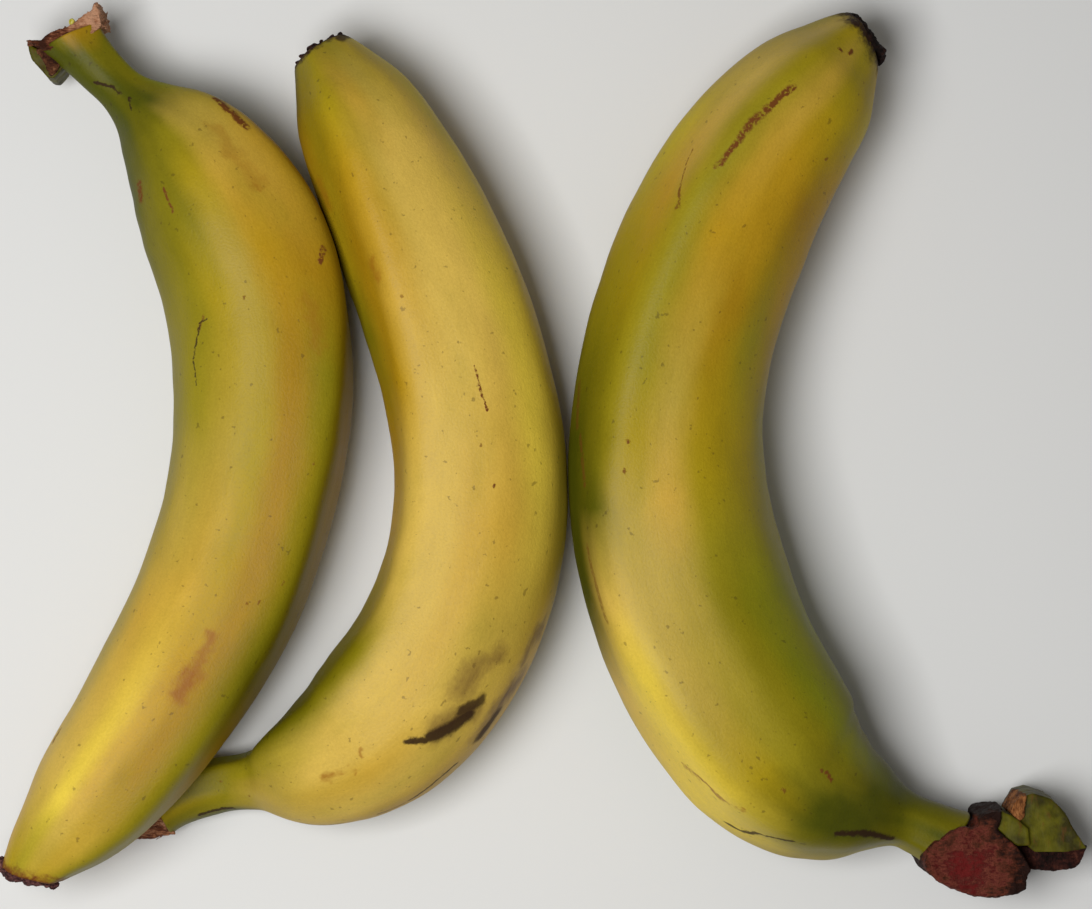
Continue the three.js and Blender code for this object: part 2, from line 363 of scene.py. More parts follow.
# The stage, in metres: where the soft light hangs, the side of its square, the width of floor
# that the camera sees at the height of the bananas' middles, and that height. The camera's
# sensor is in millimetres.
LIGHT_PLACE = (-0.18, -0.07, 0.6)
LIGHT_SIZE = 0.3
VIEW_WIDTH = 0.226
VIEW_LEVEL = 0.018
SENSOR_WIDTH = 36
FLOOR_SIZE = 6


# ---------------------------------------------------------------- helpers for modelling


def deselect_all():
    bpy.ops.object.select_all(action="DESELECT")


def make_active(piece):
    deselect_all()
    piece.select_set(True)
    bpy.context.view_layer.objects.active = piece


def apply_modifier(piece, kind, **settings):
    make_active(piece)
    modifier = piece.modifiers.new(kind.title(), kind)
    for name, value in settings.items():
        setattr(modifier, name, value)
    bpy.ops.object.modifier_apply(modifier=modifier.name)


def smooth_value(values, share):
    """The value at a share of the way along values given at equal steps, smoothly joined."""
    place = share * (len(values) - 1)
    index = max(0, min(int(place), len(values) - 2))
    part = place - index
    before = values[max(index - 1, 0)]
    start, end = values[index], values[index + 1]
    after = values[min(index + 2, len(values) - 1)]
    leaving, arriving = (end - before) / 2, (after - start) / 2
    cubic = 2 * start - 2 * end + leaving + arriving
    square = -3 * start + 3 * end - 2 * leaving - arriving
    return ((cubic * part + square) * part + leaving) * part + start


def section_share(degrees):
    """Radius of the section at an angle, as a share of the distance to its faces."""
    total = 0
    for face in SECTION_FACES:
        total += max(0.0, math.cos((degrees - face) * DEGREE)) ** RIDGE_SHARPNESS
    return total ** (-1 / RIDGE_SHARPNESS)


def read_finger(label):
    """The sizes of one banana, in millimetres, with its middle line."""
    settings = getattr(bpy.context.scene, "banana_" + label)
    finger = {word: getattr(settings, word) / MM for word, _, _ in SIZE_WORDS}
    finger.update(LINES[label])
    return finger


def profile(finger):
    """(distance, radius) pairs from the stem's end to the tip, in millimetres."""
    shoulder_end = finger["stem"] + finger["shoulder"]
    taper_start = finger["length"] - finger["taper"]
    neck, girth, far, tip = (finger[key] for key in ("neck", "girth", "far_girth", "tip"))
    length, taper = finger["length"], finger["taper"]
    widths = [
        (0, finger["flare"]),
        (finger["stem"] * 0.45, neck),
        (finger["stem"], neck * 1.04),
        (finger["stem"] + finger["shoulder"] * 0.3, (neck + girth) * 0.48),
        (finger["stem"] + finger["shoulder"] * 0.62, girth * 0.84),
        (shoulder_end, girth * 0.97),
        ((shoulder_end * 2 + taper_start) / 3, girth),
        ((shoulder_end + taper_start * 2) / 3, far),
        (taper_start, far * 0.95),
        (length - taper * 0.4, far * 0.78),
        (length - taper * 0.14, (far + tip) * 0.39),
        (length, tip),
    ]
    count = int(length / RING_STEP)
    pairs = []
    for i in range(count + 1):
        at = smooth_value([place for place, _ in widths], i / count)
        if at > finger["start"] + 0.4 or not pairs:
            at = max(at, finger["start"])
            pairs.append((at, smooth_value([width for _, width in widths], i / count) / 2))
    pairs.insert(-1, (length - 1, pairs[-1][1] * 1.06))
    pairs.insert(1, (pairs[0][0] + 0.8, pairs[0][1] * 0.99))
    return pairs


def skin_point(finger, along, degrees):
    """A place on the straight fruit's skin, in metres."""
    pairs = profile(finger)
    radius = pairs[-1][1]
    for (at, start), (next_at, end) in zip(pairs, pairs[1:]):
        if along <= next_at:
            radius = start + (end - start) * (along - at) / (next_at - at)
            break
    turn = smooth_value(finger["turns"], along / finger["length"])
    radius *= section_share(degrees - turn)
    angle = degrees * DEGREE
    return Vector((along, radius * math.sin(angle), radius * math.cos(angle))) * MM


def growth_line(finger):
    """A curve through the middle of a banana, from its stem, with its middle at the origin."""
    steps, knots = 240, 24
    step = finger["length"] / steps
    points = [Vector((0, 0, 0))]
    for i in range(steps):
        heading = smooth_value(finger["headings"], (i + 0.5) / steps) * DEGREE
        points.append(points[-1] + Vector((math.cos(heading), math.sin(heading), 0)) * step)
    middle = points[steps // 2].copy()
    for i, point in enumerate(points):
        point -= middle
        point.z = finger["girth"] / 2 * smooth_value(finger["heights"], i / steps)
    deselect_all()
    bpy.ops.curve.primitive_bezier_curve_add()
    line = bpy.context.object
    line.data.dimensions = "3D"
    line.data.twist_mode = "Z_UP"
    line.data.resolution_u = 16
    line.data.use_deform_bounds = False
    bends = line.data.splines[0].bezier_points
    bends.add(knots + 1 - len(bends))
    for i, bend in enumerate(bends):
        bend.co = points[i * steps // knots] * MM
        bend.handle_left_type = bend.handle_right_type = "AUTO"
    return line


def ring_at(place, radius, points):
    """A new object: a ring of points across the X axis, at a distance along it."""
    deselect_all()
    bpy.ops.mesh.primitive_circle_add(
        vertices=points, radius=radius * MM, location=(place * MM, 0, 0),
        rotation=(0, math.pi / 2, 0),
    )
    piece = bpy.context.object
    bpy.ops.object.transform_apply(location=True, rotation=True, scale=True)
    return piece


def draw_out(piece, finger, pairs):
    """Extrudes a piece's ring along X, through (distance, radius) pairs, and closes its ends."""
    turns = [smooth_value(finger["turns"], at / finger["length"]) for at, _ in pairs]
    slants = [
        finger["slants"][0] * max(0.0, 1 - (at - finger["start"]) / SLANT_REACH)
        + finger["slants"][1] * max(0.0, 1 - (finger["length"] - at) / SLANT_REACH)
        for at, _ in pairs
    ]
    make_active(piece)
    bpy.ops.object.mode_set(mode="EDIT")
    bpy.ops.mesh.select_all(action="SELECT")
    bpy.ops.transform.rotate(
        value=slants[0] * DEGREE, orient_axis="Z", center_override=(pairs[0][0] * MM, 0, 0)
    )
    for i in range(len(pairs) - 1):
        (at, radius), (next_at, next_radius) = pairs[i], pairs[i + 1]
        centre = (next_at * MM, 0, 0)
        bpy.ops.mesh.extrude_edges_move(
            TRANSFORM_OT_translate={"value": ((next_at - at) * MM, 0, 0)}
        )
        grow = next_radius / radius
        bpy.ops.transform.resize(value=(1, grow, grow), center_override=centre)
        bpy.ops.transform.rotate(
            value=(turns[i + 1] - turns[i]) * DEGREE, orient_axis="X", center_override=centre
        )
        bpy.ops.transform.rotate(
            value=(slants[i + 1] - slants[i]) * DEGREE, orient_axis="Z", center_override=centre
        )
    bpy.ops.mesh.edge_face_add()
    bpy.ops.mesh.inset(thickness=pairs[-1][1] * 0.45 * MM)
    bpy.ops.mesh.select_all(action="DESELECT")
    bpy.ops.mesh.select_non_manifold()
    bpy.ops.mesh.edge_face_add()
    bpy.ops.mesh.inset(thickness=pairs[0][1] * 0.45 * MM)
    bpy.ops.mesh.select_all(action="SELECT")
    bpy.ops.mesh.normals_make_consistent(inside=False)
    bpy.ops.object.mode_set(mode="OBJECT")


def keep_straight_places(piece):
    """Stores where each point lies on the straight fruit, for the materials to follow."""
    mesh = piece.data
    places = [coordinate for vertex in mesh.vertices for coordinate in vertex.co]
    mesh.attributes.new("grown", "FLOAT_VECTOR", "POINT").data.foreach_set("vector", places)


def ruffle(piece, size, depth):
    """Pushes the surface in and out by noise of a given size and depth, in millimetres."""
    texture = bpy.data.textures.new(piece.name + "_ruffle", "CLOUDS")
    texture.noise_scale = size * MM
    texture.noise_depth = 2
    apply_modifier(piece, "DISPLACE", texture=texture, strength=depth * MM, mid_level=0.5)
    bpy.data.textures.remove(texture)


def slab(outline, corner, low, high, shrink=0.9, tilt=(0, 0)):
    """A new solid on an outline in plan, drawn up from a low height to a high one.

    The top is shrunk, and tilted about X and Y, in degrees."""
    deselect_all()
    middle = Vector((0, 0, 0))
    for x, y in outline:
        middle += Vector((x, y, 0)) / len(outline)
    place = corner + Vector((middle.x, middle.y, low)) * MM
    bpy.ops.mesh.primitive_circle_add(
        vertices=len(outline), radius=MM, fill_type="NGON", location=place
    )
    piece = bpy.context.object
    bpy.ops.object.transform_apply(location=True, rotation=True, scale=True)
    for vertex, (x, y) in zip(piece.data.vertices, outline):
        vertex.co = corner + Vector((x, y, low)) * MM
    bpy.ops.object.mode_set(mode="EDIT")
    bpy.ops.mesh.select_all(action="SELECT")
    rise = (0, 0, (high - low) * MM)
    bpy.ops.mesh.extrude_region_move(TRANSFORM_OT_translate={"value": rise})
    top = place + Vector(rise)
    bpy.ops.transform.resize(value=(shrink, shrink, 1), center_override=top)
    for angle, axis in zip(tilt, "XY"):
        bpy.ops.transform.rotate(
            value=-angle * DEGREE, orient_axis=axis, center_override=top
        )
    bpy.ops.mesh.select_all(action="SELECT")
    bpy.ops.mesh.normals_make_consistent(inside=False)
    bpy.ops.object.mode_set(mode="OBJECT")
    return piece


def knob(place, size):
    """A new rough ball, squashed by its three sizes in millimetres."""
    deselect_all()
    bpy.ops.mesh.primitive_ico_sphere_add(subdivisions=2, radius=MM, location=place)
    piece = bpy.context.object
    bpy.ops.transform.resize(value=size)
    bpy.ops.object.transform_apply(location=True, rotation=True, scale=True)
    return piece


def thorn(place, direction, length, width):
    """A new torn fibre: a thin cone with a bent point."""
    deselect_all()
    turned = Vector(direction).to_track_quat("Z", "Y").to_euler()
    bpy.ops.mesh.primitive_cone_add(
        vertices=5, radius1=width * MM, radius2=width * 0.15 * MM, depth=length * MM,
        location=Vector(place) + Vector(direction).normalized() * length * 0.4 * MM,
        rotation=turned,
    )
    piece = bpy.context.object
    bpy.ops.object.transform_apply(location=True, rotation=True, scale=True)
    return piece


def fuse(name, solids, voxel, soften, *ruffles):
    """Joins rough solids into one skin of small faces, softens it and ruffles it.

    voxel is the size of its faces in millimetres, soften how many times it is smoothed, and
    ruffles are the size and depth of each layer of noise, in millimetres."""
    deselect_all()
    for solid in solids:
        solid.select_set(True)
    bpy.context.view_layer.objects.active = solids[0]
    if len(solids) > 1:
        bpy.ops.object.join()
    piece = bpy.context.object
    piece.name = piece.data.name = name
    apply_modifier(piece, "REMESH", mode="VOXEL", voxel_size=voxel * MM)
    apply_modifier(piece, "SMOOTH", factor=0.5, iterations=soften)
    for size, depth in ruffles:
        ruffle(piece, size, depth)
    make_active(piece)
    bpy.ops.object.shade_smooth()
    return piece


def turn_square(piece, degrees, at):
    """Turns a finished straight piece about Z, to lie on a slanted end of the fruit."""
    make_active(piece)
    bpy.ops.object.mode_set(mode="EDIT")
    bpy.ops.mesh.select_all(action="SELECT")
    bpy.ops.transform.rotate(
        value=degrees * DEGREE, orient_axis="Z", center_override=(at * MM, 0, 0)
    )
    bpy.ops.object.mode_set(mode="OBJECT")


def bend_along(pieces, line):
    """Bends straight pieces along a curve."""
    for piece in pieces:
        apply_modifier(piece, "CURVE", object=line, deform_axis="POS_X")


def straight_peel(name, finger):
    """The straight fruit: one ring drawn out along its profile, then made fine."""
    pairs = profile(finger)
    piece = ring_at(*pairs[0], RING_POINTS)
    piece.name = piece.data.name = name
    for vertex in piece.data.vertices:
        angle = math.degrees(math.atan2(vertex.co.y, vertex.co.z)) - finger["turns"][0]
        vertex.co.yz *= section_share(angle)
    draw_out(piece, finger, pairs)
    apply_modifier(piece, "SUBSURF", levels=2, render_levels=2)
    make_active(piece)
    bpy.ops.object.shade_smooth()
    keep_straight_places(piece)
    ruffle(piece, 22, 0.9)
    return piece


def set_down(pieces, node, sides, offset):
    """Moves the pieces so that the first one meets its node's box on the sides given."""
    low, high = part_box(node)
    corners = [vertex.co for vertex in pieces[0].data.vertices]
    shift = Vector((0, 0, 0))
    for axis, side in enumerate(sides):
        pick, target = (min, low) if side == "low" else (max, high)
        shift[axis] = target[axis] - pick(corner[axis] for corner in corners) + offset[axis] * MM
    for piece in pieces:
        piece.data.transform(Matrix.Translation(shift))


def belong(piece, label):
    """Attaches a finished piece to the root body and hides its banana's part."""
    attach(piece, "root")
    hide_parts("banana_" + label)


# ---------------------------------------------------------------- helpers for materials


class Wire:
    """A value that varies over a surface. Arithmetic on it adds the Math nodes."""

    def __init__(self, shade, socket):
        self.shade = shade
        self.socket = socket

    def maths(self, operation, *values):
        return self.shade.node("Math", {"operation": operation}, dict(enumerate(values)))

    def __add__(self, other):
        return self.maths("ADD", self, other)

    def __radd__(self, other):
        return self.maths("ADD", other, self)

    def __sub__(self, other):
        return self.maths("SUBTRACT", self, other)

    def __rsub__(self, other):
        return self.maths("SUBTRACT", other, self)

    def __mul__(self, other):
        return self.maths("MULTIPLY", self, other)

    def __rmul__(self, other):
        return self.maths("MULTIPLY", other, self)

    def at_most(self, other):
        return self.maths("MINIMUM", self, other)

    def at_least(self, other):
        return self.maths("MAXIMUM", self, other)

    def size(self):
        return self.maths("ABSOLUTE", self)


class Shade:
    """The nodes of one material."""

    def __init__(self, name, surface):
        self.material = bpy.data.materials.new(name)
        self.material.use_nodes = True
        self.tree = self.material.node_tree
        self.surface = self.tree.nodes["Principled BSDF"]
        for socket, value in surface.items():
            self.surface.inputs[socket].default_value = value

    def node(self, kind, settings=None, values=None, output=0):
        """Adds a node: its type, its settings, then the values or links of its sockets."""
        made = self.tree.nodes.new("ShaderNode" + kind)
        for name, value in (settings or {}).items():
            if name == "stops":
                self.set_stops(made.color_ramp, value)
            else:
                setattr(made, name, value)
        for key, value in (values or {}).items():
            self.feed(made.inputs[key], value)
        return Wire(self, made.outputs[output])

    def set_stops(self, ramp, stops):
        while len(ramp.elements) < len(stops):
            ramp.elements.new(1)
        for element, (place, colour) in zip(ramp.elements, stops):
            element.position = place
            element.color = (*colour, 1)

    def feed(self, socket, value):
        if isinstance(value, Wire):
            self.tree.links.new(value.socket, socket)
        else:
            socket.default_value = value

    def finish(self, colour, roughness, height, depth):
        """Links the surface. depth is how far the bumps rise, in millimetres."""
        for name, value in (("Base Color", colour), ("Roughness", roughness)):
            if value is not None:
                self.feed(self.surface.inputs[name], value)
        bump = self.node("Bump", {}, {"Height": height, "Distance": depth * MM, "Strength": 1})
        self.feed(self.surface.inputs["Normal"], bump)
        return self.material

    def attribute(self, name):
        return self.node("Attribute", {"attribute_name": name}, output="Vector")

    def own_place(self):
        return self.node("TexCoord", output="Object")

    def split(self, vector):
        made = self.node("SeparateXYZ", {}, {0: vector}).socket.node
        return [Wire(self, socket) for socket in made.outputs]

    def vector(self, operation, *values, output=0):
        return self.node("VectorMath", {"operation": operation}, dict(enumerate(values)), output)

    def scaled(self, vector, scale):
        return self.node("VectorMath", {"operation": "SCALE"}, {0: vector, "Scale": scale})

    def noise(self, place, size, detail=2, rough=0.5, stretch=(1, 1, 1), output=0):
        """Soft noise whose lumps are about size millimetres across, from 0 to 1."""
        if stretch != (1, 1, 1):
            place = self.vector("MULTIPLY", place, stretch)
        values = {"Vector": place, "Scale": 1 / (size * MM), "Detail": detail, "Roughness": rough}
        return self.node("TexNoise", {}, values, output)

    def rise(self, value, low, high):
        """0 where the value is under low, 1 where it is over high, and smooth between."""
        return self.node(
            "MapRange", {"interpolation_type": "SMOOTHSTEP"},
            {"Value": value, "From Min": low, "From Max": high},
        )

    def mix(self, first, second, factor):
        first, second = (
            (*colour, 1) if isinstance(colour, tuple) and len(colour) == 3 else colour
            for colour in (first, second)
        )
        return self.node(
            "Mix", {"data_type": "RGBA"}, {0: factor, 6: first, 7: second}, 2
        )

    def ramp(self, value, stops):
        return self.node("ValToRGB", {"stops": stops}, {0: value})

    def brighten(self, colour, amount):
        """Multiplies a colour by a value that varies."""
        grey = self.node("CombineXYZ", {}, {0: amount, 1: amount, 2: amount})
        return self.vector("MULTIPLY", colour, grey)


def palette():
    """The colours that are set in the panel."""
    colours = bpy.context.scene.banana_colours
    return {name: tuple(getattr(colours, name)) for name in COLOURS}


def lane_stops(words, colours):
    """Turns the words of one lane into the stops of a colour ramp."""
    words = words.split()
    return [(float(place), colours[name]) for place, name in zip(words[::2], words[1::2])]


def stroke(shade, place, start, end, solid, reach):
    """1 within a solid distance of the line between two points, and 0 beyond its reach."""
    along = end - start
    from_start = shade.vector("SUBTRACT", place, tuple(start))
    share = shade.vector("DOT_PRODUCT", from_start, tuple(along / along.length_squared), output=1)
    share = share.at_least(0).at_most(1)
    off = shade.vector("SUBTRACT", from_start, shade.scaled(tuple(along), share))
    distance = shade.vector("LENGTH", off, output=1)
    return 1 - shade.rise(distance, solid * MM, reach * MM)


def marks_of(shade, finger, marks, kind, place):
    """One mask for all the marks of a kind. Rubbed and bruised ones have softer edges."""
    solid, soft = (0, 1.8) if kind in ("tan", "bruise") else (0.5, 1.4)
    total = 0
    for name, reach, strength, *points in marks:
        if name != kind:
            continue
        if len(points) == 1:
            points.append((points[0][0] + SPECK, points[0][1]))
        points = [skin_point(finger, *point) for point in points]
        for start, end in zip(points, points[1:]):
            mask = stroke(shade, place, start, end, reach * solid, reach * soft) * strength
            total = mask if total == 0 else mask.at_least(total)
    return total


def shaken(shade, place, size, reach):
    """The same place, moved about by noise by up to about half its reach, in millimetres."""
    drift = shade.vector("SUBTRACT", shade.noise(place, size, 3, 0.68, output=1), (0.5, 0.5, 0.5))
    return shade.vector("ADD", place, shade.scaled(drift, reach * MM))


def peel_material(label, finger):
    """The peel of one banana, from its lanes, its marks and the lip round its tip."""
    colours = palette()
    shade = Shade("peel_" + label, {"Specular IOR Level": 0.15})
    grown = shade.attribute("grown")
    x, y, z = shade.split(grown)
    wander = shade.noise(grown, 16, 3, 0.55, (0.5, 1, 1), output=1)
    wander_x, wander_y, mottle = shade.split(wander)
    along = x * (1 / (finger["length"] * MM)) + (wander_x - 0.5) * 0.08
    turn = shade.node("Math", {"operation": "ARCTAN2"}, {0: y, 1: z}) * (1 / DEGREE)
    turn = turn + (wander_y - 0.5) * 22

    # the colours run in lanes along the fruit and flow into one another round it
    lanes = [shade.ramp(along, lane_stops(words, colours)) for words in LANES[label]]
    colour = lanes[0]
    for lane, low, high in zip(lanes[1:], LANE_TURNS, LANE_TURNS[1:]):
        colour = shade.mix(colour, lane, shade.rise(turn, low, high))
    colour = shade.mix(colour, lanes[-1], shade.rise(turn.size(), 80, 130))

    # soft mottling, short fibres that run along the peel, its fine pores and small dark specks
    fibres = shade.noise(grown, 1.1, 3, 0.6, (0.12, 1, 1))
    pores = shade.noise(grown, 0.5, 2, 0.7)
    blotches = shade.noise(grown, 6, 5, 0.65, (0.6, 1, 1))
    colour = shade.mix(colour, colours["lime"], shade.rise(mottle, 0.5, 0.75) * 0.3)
    tone = 0.66 + fibres * 0.1 + pores * 0.32 + blotches * 0.26
    colour = shade.brighten(colour, tone)
    specks = shade.noise(grown, 1.4, 2, 0.5)
    colour = shade.mix(colour, colours["scar"], shade.rise(specks, 0.68, 0.74) * 0.4)

    # marks, with edges that wander a little
    near, far = shaken(shade, grown, 1.6, 1.6), shaken(shade, grown, 5, 6)
    grain = shade.noise(grown, 0.8, 2, 0.6)
    worn = 0
    for kind, place in (("tan", far), ("bruise", far), ("rust", near), ("scar", near)):
        mask = marks_of(shade, finger, MARKS[label], kind, place)
        if kind == "rust":
            mask = mask * (0.2 + shade.rise(grain, 0.33, 0.53))
        if kind in ("tan", "bruise"):
            mask = mask * (0.3 + fibres + blotches * 0.5)
        colour = shade.mix(colour, colours[kind], mask.at_most(1))
        if kind in ("rust", "scar"):
            worn = mask + worn

    # the burnt lip round the dried tip
    reach, kind = LIPS[label]
    x, y, z = shade.split(shaken(shade, grown, 2.5, reach * 1.6))
    end = finger["length"]
    beyond = x - y * math.tan(finger["slants"][1] * DEGREE)
    lip = shade.rise(beyond, (end - reach) * MM, (end - 0.3) * MM)
    colour = shade.mix(colour, colours[kind], lip * (0.55 + grain))
    worn = worn + lip

    roughness = 0.33 + pores * 0.16 + blotches * 0.12 + worn * 0.25
    height = pores * 0.6 + fibres * 0.25 + blotches * 0.5 + worn * 0.4
    return shade.finish(colour, roughness, height, 0.12)


def dried_material(name, colours, grain=(1, 1, 1), dark=None):
    """Dried or torn plant tissue: its colours from its hollows to its highest, with fibres.

    grain stretches the fibres, and dark is a place that it darkens towards, with how far that
    reaches, in millimetres."""
    shade = Shade(name, {"Specular IOR Level": 0.12})
    place = shade.own_place()
    patches = shade.noise(place, 3.52, 3, 0.6)
    fibres = shade.noise(place, 0.72, 4, 0.7, grain)
    specks = shade.noise(place, 0.3, 2, 0.6)
    value = patches * 0.5 + fibres * 0.5
    if dark:
        centre, reach = dark
        apart = shade.vector("DISTANCE", shaken(shade, place, 3, 3), tuple(centre), output=1)
        value = value + (shade.rise(apart, 0, reach * MM) - 0.5) * 0.24
    stops = [(0.36 + 0.28 * i / (len(colours) - 1), colour) for i, colour in enumerate(colours)]
    colour = shade.brighten(shade.ramp(value, stops), 0.55 + fibres * 0.6 + specks * 0.4)
    return shade.finish(colour, 0.85 - fibres * 0.35, fibres * 1.2 + specks * 0.6, 0.4)


def torn_material(name, dark=None):
    """Freshly torn flesh and skin, pinkish where it is dry and brown in its hollows, and darker
    towards the place given as dark.
    """
    return dried_material(
        name,
        ((0.04, 0.011, 0.005), (0.12, 0.034, 0.014), (0.32, 0.135, 0.065), (0.46, 0.24, 0.14)),
        (0.5, 1.6, 1), dark,
    )


def skin_material(name):
    """Green crown skin with brown fibres rubbed into it."""
    shade = Shade(name, {"Specular IOR Level": 0.12})
    place = shade.own_place()
    patches = shade.noise(place, 5, 3, 0.6)
    fibres = shade.noise(place, 0.9, 3, 0.6, (1, 0.25, 1))
    specks = shade.noise(place, 0.4, 2, 0.6)
    colour = shade.ramp(patches, [
        (0.36, (0.035, 0.029, 0.002)), (0.52, (0.085, 0.077, 0.003)), (0.68, (0.125, 0.112, 0.005)),
    ])
    colour = shade.mix(colour, (0.11, 0.035, 0.008), shade.rise(fibres, 0.54, 0.72) * 0.5)
    colour = shade.brighten(colour, 0.5 + fibres * 0.5 + specks * 0.3)
    return shade.finish(colour, 0.45 + specks * 0.15, fibres * 0.5 + specks * 0.4, 0.12)


def cut_material(name, centre, reach):
    """An old cut: red in the middle, mauve and brown further out, and nearly black at its rim."""
    shade = Shade(name, {"Specular IOR Level": 0.12})
    place = shade.own_place()
    apart = shade.vector("DISTANCE", shaken(shade, place, 4, 5), tuple(centre), output=1)
    apart = apart * (1 / (reach * MM))
    patches = shade.noise(place, 3, 4, 0.65)
    fibres = shade.noise(place, 0.8, 4, 0.7, (0.5, 1.3, 1))
    specks = shade.noise(place, 0.3, 2, 0.6)
    value = apart * 0.85 + (patches - 0.5) * 1.3 + (fibres - 0.5) * 1.1
    colour = shade.ramp(value, [
        (0.14, (0.13, 0.009, 0.008)), (0.34, (0.085, 0.013, 0.009)), (0.5, (0.15, 0.033, 0.02)),
        (0.66, (0.08, 0.02, 0.009)), (0.88, (0.016, 0.005, 0.003)),
    ])
    colour = shade.brighten(colour, 0.2 + fibres + specks * 0.6)
    return shade.finish(colour, 0.8 - fibres * 0.35, fibres * 1.2 + specks * 0.6, 0.4)


def bead_material(name):
    """Yellow sap, glossy and slightly cloudy."""
    shade = Shade(name, {"Roughness": 0.2})
    cloud = shade.noise(shade.own_place(), 0.5, 2, 0.6)
    colour = shade.ramp(cloud, [(0.35, (0.35, 0.3, 0.02)), (0.65, (0.7, 0.62, 0.12))])
    return shade.finish(colour, None, cloud, 0.1)


# ---------------------------------------------------------------- the pieces


def straight_tip(label, finger):
    """The dried remains of the flower on the blunt tip: a crust with knobs round its rim."""
    dice = random.Random(label)
    scale, *colours = CRUSTS[label]
    length, radius = finger["length"], finger["tip"] / 2
    solids = [knob(Vector((length, 0, 0)) * MM, (1.2 * scale, radius * 0.9, radius * 0.9))]
    for i in range(TIP_KNOBS):
        angle = (i + dice.uniform(-0.4, 0.4)) * 2 * math.pi / TIP_KNOBS
        size = dice.uniform(0.9, 1.7) * scale
        out = radius * dice.uniform(0.88, 0.98) - size * 0.6
        along = length + dice.uniform(-0.2, 0.7) * scale
        place = Vector((along, out * math.sin(angle), out * math.cos(angle))) * MM
        solids.append(knob(place, (size * 0.9, size * 1.25, size * 1.25)))
    if label == "left":  # it keeps a larger burr at its side
        solids.append(knob(Vector((length - 0.8, -radius, 1)) * MM, (1.7, 1.2, 1.6)))
    piece = fuse("tip_" + label, solids, 0.28, 2, (1.4, 1.1 * scale), (0.45, 0.35 * scale))
    turn_square(piece, finger["slants"][1], length)
    piece.data.materials.append(dried_material("tip_" + label, colours))
    return piece


def straight_stem_end(finger):
    """The torn end of the middle banana's stem: a ragged wedge with its fibres."""
    dice = random.Random(5)
    start, radius = finger["start"], finger["flare"] / 2
    solids = [
        knob(Vector((start, 0, 0)) * MM, (1.5, radius * 0.97, radius * 0.97)),
        thorn(Vector((start, -2, 0)) * MM, (-1, 0.04, 0.05), 13, radius * 0.78),
        thorn(Vector((start, 2, 1)) * MM, (-1, -0.1, 0), 7, radius * 0.5),
    ]
    for _ in range(STEM_FIBRES):
        angle = dice.uniform(0, 2 * math.pi)
        out = radius * dice.uniform(0.5, 0.92)
        place = Vector((start - 0.4, out * math.sin(angle), out * math.cos(angle))) * MM
        solids.append(thorn(place, (-1, dice.uniform(-0.3, 0.3), dice.uniform(-0.2, 0.3)),
                            dice.uniform(1.5, 4), dice.uniform(0.4, 0.8)))
    piece = fuse("stem_end_middle", solids, 0.28, 1, (2, 0.8), (0.6, 0.35))
    turn_square(piece, finger["slants"][0], start)
    piece.data.materials.append(torn_material("stem_end_middle"))
    return piece


def crown_corner(label, crown):
    """The corner of a banana's box that the outlines of its crown are measured from."""
    low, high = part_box("banana_" + label)
    x, y = (low if side == "low" else high for side in crown["corner"])
    return Vector((x[0], y[1], 0))


def build_left_crown():
    """The torn strip over the left stem, with its fibres, a stub, its scab and a bead of sap."""
    dice = random.Random(11)
    corner = crown_corner("left", CROWN_LEFT)
    edge = CROWN_LEFT["torn"]
    torn = [slab(edge, corner, *LEVELS_LEFT["torn"], 0.97)]
    for _ in range(CROWN_FIBRES):
        side = dice.randrange(0, 9)
        share = dice.random()
        x = edge[side][0] + (edge[side + 1][0] - edge[side][0]) * share
        y = edge[side][1] + (edge[side + 1][1] - edge[side][1]) * share
        place = corner + Vector((x + 0.3, y - 0.5, dice.uniform(12, 20.5))) * MM
        torn.append(thorn(place, (dice.uniform(-0.8, 0.5), 1, dice.uniform(-0.2, 0.5)),
                          dice.uniform(0.8, 1.9), dice.uniform(0.2, 0.4)))
    # The torn strip is painted darker towards this point, where it meets the stub, fading out over
    # 17 millimetres.
    darkening_centre = corner + Vector((5, -7, 19)) * MM
    stub = [slab(CROWN_LEFT["stub"], corner, *LEVELS_LEFT["stub"], 0.93)]
    scab = [slab(CROWN_LEFT["scab"], corner, *LEVELS_LEFT["scab"], 0.97)]
    bead = knob(corner + Vector((14.3, -2.8, 20.2)) * MM, (0.7, 0.85, 0.7))
    apply_modifier(bead, "SUBSURF", levels=2, render_levels=2)
    bead.name = bead.data.name = "crown_left_bead"
    make_active(bead)
    bpy.ops.object.shade_smooth()
    bead.data.materials.append(bead_material("crown_left_bead"))
    finished = [
        (fuse("crown_left_torn", torn, 0.25, 1, (2.5, 1), (0.7, 0.5)),
         torn_material("crown_left_torn", (darkening_centre, 17))),
        (fuse("crown_left_stub", stub, 0.3, 2, (4, 0.6)), skin_material("crown_left_stub")),
        (fuse("crown_left_scab", scab, 0.25, 1, (2.5, 0.8), (0.6, 0.4)),
         dried_material("crown_left_scab", (
             (0.012, 0.004, 0.002), (0.045, 0.013, 0.006), (0.1, 0.035, 0.014), (0.2, 0.09, 0.04),
         ))),
    ]
    for piece, material in finished:
        piece.data.materials.append(material)
    for piece in [bead] + [piece for piece, _ in finished]:
        belong(piece, "left")


